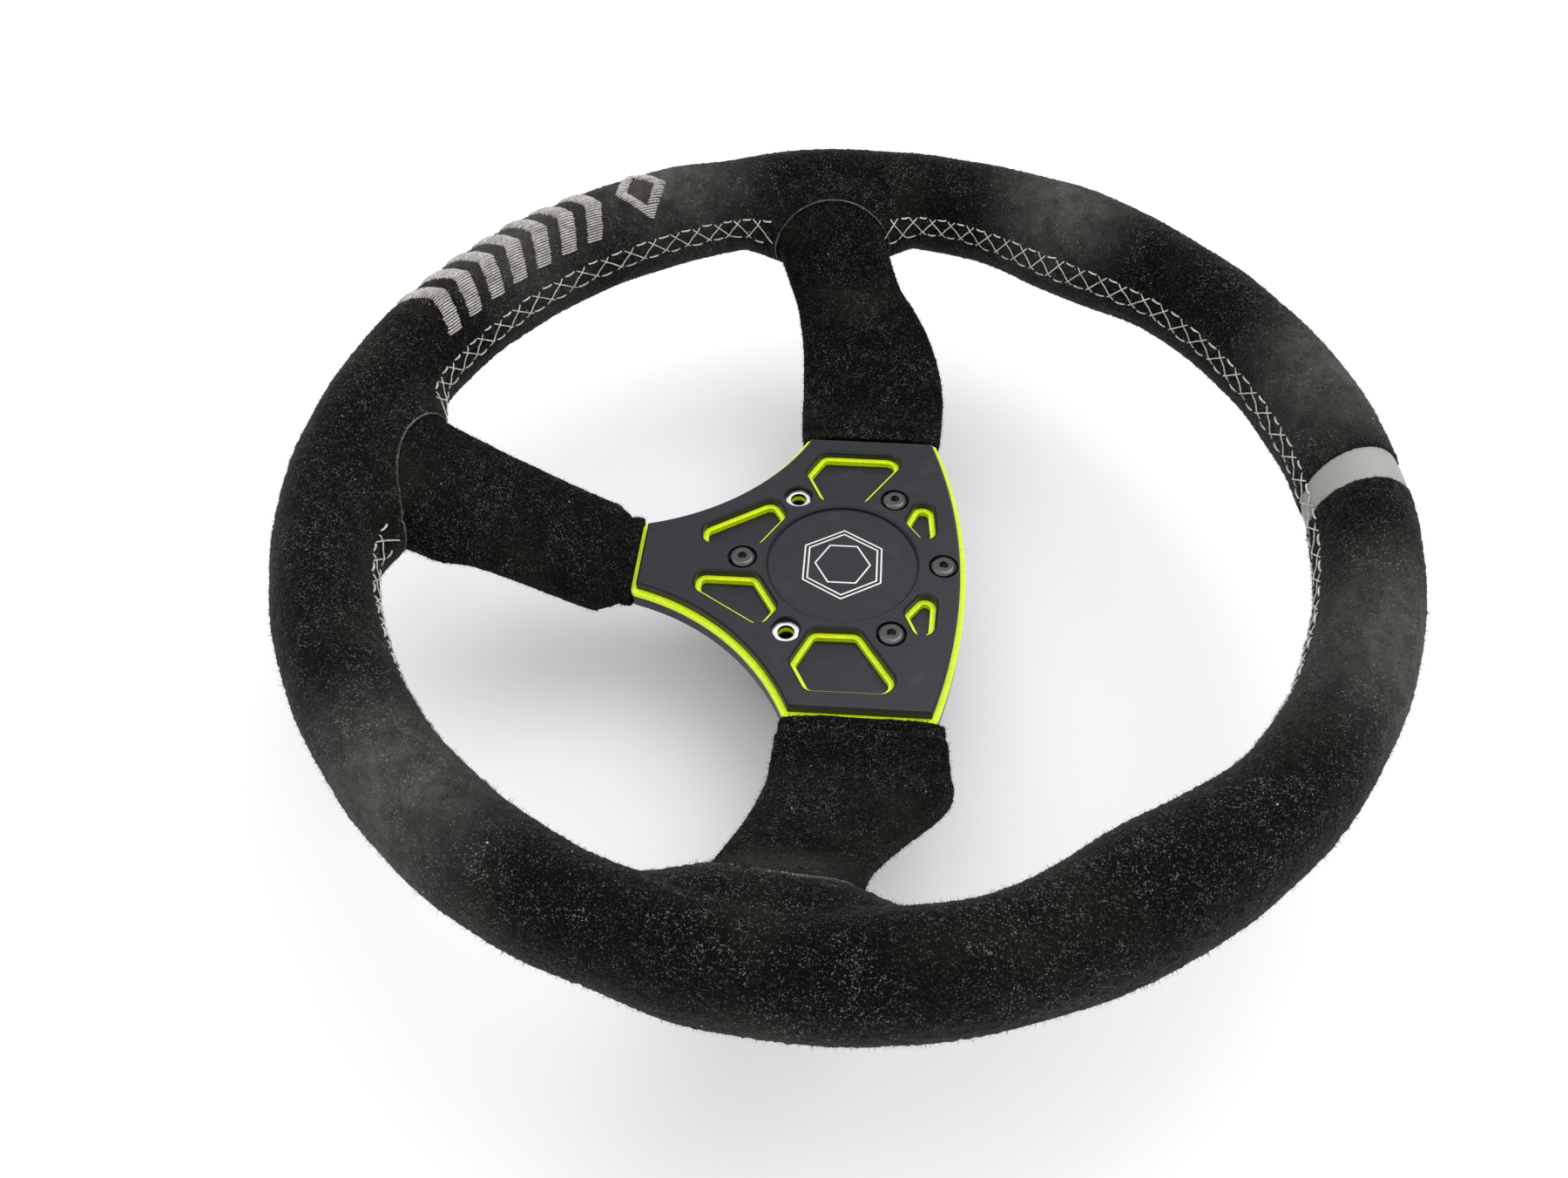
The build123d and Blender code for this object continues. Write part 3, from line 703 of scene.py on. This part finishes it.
class Paint:
    """A node material built round one Principled shader."""

    def __init__(self, name, **constants):
        self.material = bpy.data.materials.new(name)
        self.material.use_nodes = True
        self.tree = self.material.node_tree
        self.shader = self.tree.nodes["Principled BSDF"]
        for socket, value in constants.items():
            self.shader.inputs[socket.replace("_", " ")].default_value = value
        self.place = self.add("ShaderNodeTexCoord").outputs["Object"]

    def add(self, kind, inputs=(), **settings):
        """A node. inputs gives a value or another node's output for some of its sockets."""
        node = self.tree.nodes.new(kind)
        for name, value in settings.items():
            setattr(node, name, value)
        for socket, value in dict(inputs).items():
            if isinstance(value, bpy.types.NodeSocket):
                self.tree.links.new(value, node.inputs[socket])
            else:
                node.inputs[socket].default_value = value
        return node

    def maths(self, operation, first, second):
        """One step of arithmetic."""
        node = self.add("ShaderNodeMath", {0: first, 1: second}, operation=operation)
        return node.outputs[0]

    def noise(self, scale, detail, stretch=(1, 1, 1), shift=0.0):
        """Cloudy noise with features of about one over scale metres."""
        place = self.add("ShaderNodeMapping", {
            "Vector": self.place, "Scale": stretch, "Location": (shift, shift, shift)})
        node = self.add("ShaderNodeTexNoise", {
            "Vector": place.outputs[0], "Scale": scale, "Detail": detail})
        return node.outputs["Fac"]

    def ranged(self, value, low, high, to_low=0.0, to_high=1.0):
        """A value carried smoothly from one range to another."""
        node = self.add("ShaderNodeMapRange", {
            "Value": value, "From Min": low, "From Max": high, "To Min": to_low, "To Max": to_high},
            interpolation_type="SMOOTHSTEP")
        return node.outputs[0]

    def blend(self, share, first, second):
        """Two colours mixed."""
        node = self.add("ShaderNodeMix", data_type="RGBA")
        for index, value in ((0, share), (6, first), (7, second)):
            if isinstance(value, bpy.types.NodeSocket):
                self.tree.links.new(value, node.inputs[index])
            else:
                node.inputs[index].default_value = value if index == 0 else (*value, 1)
        return node.outputs[2]

    def near(self, point, reach):
        """One close to a point in metres, nothing beyond reach."""
        away = self.add("ShaderNodeVectorMath", {0: self.place, 1: point}, operation="DISTANCE")
        return self.ranged(away.outputs["Value"], 0.0, reach, 1.0, 0.0)

    def drive(self, socket, value):
        """Connect a node's output to the shader."""
        self.tree.links.new(value, self.shader.inputs[socket])

    def relief(self, height, depth, strength=1.0):
        """Bump from a height, with its depth in millimetres."""
        node = self.add("ShaderNodeBump", {
            "Height": height, "Distance": depth / 1000, "Strength": strength})
        self.drive("Normal", node.outputs[0])

    def fibres(self, density, length, width, shift):
        """Short straight fibres at random angles, one in each cell, and each cell's own number."""
        cells = self.add("ShaderNodeMapping", {
            "Vector": self.place, "Scale": (density,) * 3, "Location": (shift,) * 3})
        cell = self.add("ShaderNodeTexVoronoi", {"Vector": cells.outputs[0], "Scale": 1.0})
        offset = self.add("ShaderNodeVectorMath", {
            0: cells.outputs[0], 1: cell.outputs["Position"]}, operation="SUBTRACT")
        turn = self.add("ShaderNodeVectorMath", {
            0: cell.outputs["Color"], 1: (FULL_TURN,) * 3}, operation="MULTIPLY")
        turned = self.add("ShaderNodeVectorRotate", {
            "Vector": offset.outputs[0], "Rotation": turn.outputs[0]}, rotation_type="EULER_XYZ")
        shape = self.add("ShaderNodeVectorMath", {
            0: turned.outputs[0], 1: (1 / length, 1 / width, 1 / width)}, operation="MULTIPLY")
        size = self.add("ShaderNodeVectorMath", {0: shape.outputs[0]}, operation="LENGTH")
        mark = self.ranged(size.outputs["Value"], 0.4, 1.0, 1.0, 0.0)
        number = self.add("ShaderNodeSeparateColor", {0: cell.outputs["Color"]}).outputs[1]
        return self.maths("MULTIPLY", mark, self.ranged(number, 0.3, 1.0))


def suede(name, black, pale, sheen, wear_and_highlight_points=()):
    """Napped black suede: pale fibres on a dark ground, dusty in places, with patches of wear that also
    carry a painted highlight.
    """
    paint = Paint(name, Roughness=0.95, Sheen_Weight=sheen, Sheen_Roughness=0.42,
                  Sheen_Tint=(0.75, 0.75, 0.7, 1), Specular_IOR_Level=0.08)
    layers = [paint.maths("MULTIPLY", paint.fibres(*layer), weight) for *layer, weight in FIBRES]
    nap = layers[0]
    for layer in layers[1:]:
        nap = paint.maths("ADD", nap, layer)
    patches = paint.ranged(paint.noise(55, 4), 0.36, 0.66, 0.5, 1.2)
    mottle = paint.ranged(paint.noise(260, 2, shift=8), 0.4, 0.62, 0.45, 1.35)
    nap_shown = paint.maths("MULTIPLY", paint.maths("MULTIPLY", nap, patches), mottle)
    # Patches of wear that are partly a painted highlight on the upper surfaces: they push the colour
    # towards the pale fibres.
    for point, reach in wear_and_highlight_points:
        worn_and_highlit = paint.maths("MULTIPLY", paint.near(point, reach), paint.noise(160, 4, shift=2))
        nap_shown = paint.maths("ADD", nap_shown, paint.maths("MULTIPLY", worn_and_highlit, 0.62))
    dust = paint.ranged(paint.noise(28, 5, shift=5), 0.48, 0.7)
    ground = paint.blend(dust, black, GROUND_DUST)
    colour = paint.blend(nap_shown, ground, pale)
    lint = paint.add("ShaderNodeTexVoronoi", {"Vector": paint.place, "Scale": 95.0})
    speck = paint.ranged(lint.outputs["Distance"], 0.02, 0.035, 0.8, 0.0)
    colour = paint.blend(speck, colour, LINT)
    paint.drive("Base Color", colour)
    height = paint.maths("ADD", nap, paint.maths("MULTIPLY", paint.noise(900, 3), 0.8))
    paint.relief(height, 0.3, 0.9)
    return paint.material


def thread_paint(name, colour, dirt):
    """Twisted thread, a little dirty."""
    paint = Paint(name, Roughness=0.55, Sheen_Weight=0.2)
    soiled = paint.ranged(paint.noise(220, 3), 0.42, 0.7, 0.0, 0.75)
    strands = paint.ranged(paint.noise(1500, 1, stretch=(1, 1, 1.4)), 0.42, 0.62, 0.0, 0.65)
    tone = paint.blend(strands, colour, tuple(0.35 * value for value in colour))
    paint.drive("Base Color", paint.blend(soiled, tone, dirt))
    ply = paint.add("ShaderNodeTexWave", {
        "Vector": paint.place, "Scale": 900.0, "Distortion": 2.0}, bands_direction="DIAGONAL")
    paint.relief(ply.outputs["Fac"], 0.08)
    return paint.material


def leather(name, colour):
    """Smooth leather with a fine grain and a few marks."""
    paint = Paint(name, Roughness=0.5, Specular_IOR_Level=0.4)
    marks = paint.ranged(paint.noise(300, 5), 0.62, 0.72, 0.0, 0.35)
    shade = paint.ranged(paint.noise(60, 3), 0.3, 0.7, 0.0, 0.22)
    tone = paint.blend(shade, colour, tuple(0.72 * value for value in colour))
    paint.drive("Base Color", paint.blend(marks, tone, LEATHER_MARK))
    grain = paint.add("ShaderNodeTexVoronoi", {"Vector": paint.place, "Scale": 1500.0})
    paint.relief(grain.outputs["Distance"], 0.05, 0.6)
    paint.drive("Roughness", paint.ranged(paint.noise(250, 2), 0.3, 0.7, 0.42, 0.62))
    return paint.material


def metal(name, colour, metallic, rough, grain=(1, 1, 1), grain_scale=900, dust=0.12):
    """Metal with a directional grain, uneven gloss and a little dust."""
    paint = Paint(name, Metallic=metallic)
    cloud = paint.noise(90, 4)
    lines = paint.noise(grain_scale, 2, stretch=grain)
    shade = paint.ranged(lines, 0.3, 0.7, 0.0, 0.5)
    tone = paint.blend(shade, tuple(0.86 * value for value in colour),
                       tuple(1.16 * value for value in colour))
    dusty = paint.ranged(cloud, 0.55, 0.8, 0.0, dust)
    paint.drive("Base Color", paint.blend(dusty, tone, METAL_DUST))
    uneven = paint.maths("ADD", paint.maths("MULTIPLY", cloud, 0.16),
                         paint.maths("MULTIPLY", lines, 0.12))
    paint.drive("Roughness", paint.maths("ADD", uneven, rough - 0.14))
    paint.relief(lines, 0.02, 0.35)
    return paint.material


def dress(materials):
    """Give every CAD node that stays in view its material."""
    for node, material in materials.items():
        slots = frame["nodes"][node].material_slots
        if not slots:
            frame["nodes"][node].data.materials.append(material)
        for held in slots:
            held.material = material


def grip_point(around, section):
    """A point on the grip in metres, for a patch of wear and painted highlight."""
    points, _ = on_grip(around, section)
    return tuple(points / 1000)


# Patches of wear on the grip, which also paint a highlight on its upper surfaces.
wear = [(grip_point(around, section), reach) for around, section, reach in WORN_AND_HIGHLIT_PATCHES]
grip_suede = suede("suede_grip", (0.0014, 0.0014, 0.0013), (0.155, 0.155, 0.142), 0.09, wear)
sleeve_suede = suede("suede_sleeve", (0.0013, 0.0013, 0.0012), (0.15, 0.152, 0.143), 0.04)
# The raw edge's pale colour is partly wear and partly a painted highlight along the edge.
highlit_edge_suede = suede("suede_raw_edge", (0.1, 0.1, 0.094), (0.45, 0.45, 0.43), 0.1)
nap_suede = suede("suede_nap", (0.008, 0.008, 0.0075), (0.13, 0.13, 0.122), 0.06)
thread_grey = thread_paint("thread_grey", (0.74, 0.72, 0.67), (0.34, 0.32, 0.27))
thread_satin = thread_paint("thread_satin", (0.55, 0.52, 0.49), (0.27, 0.25, 0.23))
band_leather = leather("leather_band", (0.3, 0.3, 0.288))
etched = metal("etched_white", (0.82, 0.82, 0.8), 0.2, 0.45)
bare = metal("bare_metal", (0.8, 0.79, 0.76), 0.9, 0.35, dust=0.05)
black_plate = metal("anodised_plate", (0.02, 0.02, 0.026), 0.5, 0.38, grain=(1, 0.12, 1), dust=0.04)
black_turned = metal("anodised_turned", (0.03, 0.03, 0.034), 0.6, 0.36, grain=(0.15, 0.15, 1))
lime = metal("lime_anodised", (0.78, 1.0, 0.004), 0.0, 0.42, dust=0.03)
oxide = metal("black_oxide", (0.1, 0.1, 0.103), 1.0, 0.14, grain_scale=1500, dust=0.04)
steel = metal("ground_steel", (0.5, 0.5, 0.51), 1.0, 0.3, grain=(0.2, 0.2, 1))
spring_steel = metal("spring_steel", (0.36, 0.36, 0.37), 1.0, 0.34)
polished = metal("polished_steel", (0.78, 0.78, 0.8), 1.0, 0.16, grain_scale=300)

make_grip(grip_suede)
make_band(band_leather)
make_sleeves(sleeve_suede)
make_joint_edges(highlit_edge_suede)
make_nap(nap_suede)
make_stitching(thread_grey)
make_embroidery(thread_satin)
make_motif(etched)
make_bare_rings(bare)
make_spring(spring_steel)
dress({
    "armature": black_plate, "face_plate": black_plate, "accent_plate": lime,
    "rim_hoop": steel, "face_screws": oxide, "coupler_body": black_turned,
    "release_collar": black_turned, "lock_ring": steel, "spline_insert": steel,
    "insert_grub_screws": oxide, "spring_seat": spring_steel, "retaining_clip": spring_steel,
})
dress({f"locking_ball_{number}": polished for number in range(1, 7)})


# ---- Stage, light and camera ----
def make_floor():
    """A plain pale floor under the wheel."""
    bpy.ops.mesh.primitive_plane_add(size=8)
    floor = bpy.context.object
    floor.name = "floor"
    paint = Paint("floor_white", Roughness=0.7, Specular_IOR_Level=0.2)
    paint.drive("Base Color", paint.blend(paint.noise(1.2, 2), (0.83, 0.83, 0.845), (0.87, 0.87, 0.88)))
    floor.data.materials.append(paint.material)


def make_light(name, place, target, size, power):
    """A soft rectangular lamp that looks at a point."""
    lamp = bpy.data.lights.new(name, "AREA")
    lamp.size = size
    lamp.energy = power
    holder = bpy.data.objects.new(name, lamp)
    holder.location = place
    holder.rotation_euler = (Vector(target) - Vector(place)).to_track_quat("-Z", "Y").to_euler()
    bpy.context.scene.collection.objects.link(holder)


def make_camera():
    """The camera looks down on the wheel from the three o'clock side, turned a little."""
    right = Vector(CAMERA_RIGHT)
    forward = Vector(CAMERA_FORWARD)
    up = right.cross(forward).normalized()
    lens = bpy.data.cameras.new("camera")
    lens.sensor_width = 36
    lens.lens = LENS_MM
    lens.shift_x = LENS_SHIFT
    camera = bpy.data.objects.new("camera", lens)
    turn = Matrix((right, up, -forward)).transposed().to_4x4()
    camera.matrix_world = Matrix.Translation(CAMERA_PLACE) @ turn
    bpy.context.scene.collection.objects.link(camera)
    bpy.context.scene.camera = camera


make_floor()
make_light("lamp_key", (-0.45, 0.6, 1.9), LAMP_TARGET, size=1.4, power=12)
make_light("lamp_fill", (0.2, -0.9, 1.7), LAMP_TARGET, size=1.6, power=4)
make_camera()
world = bpy.data.worlds.new("studio")
world.use_nodes = True
background = world.node_tree.nodes["Background"]
background.inputs["Color"].default_value = (1.0, 1.0, 1.0, 1)
background.inputs["Strength"].default_value = WORLD_STRENGTH
bpy.context.scene.world = world
bpy.context.scene.view_settings.view_transform = "Standard"
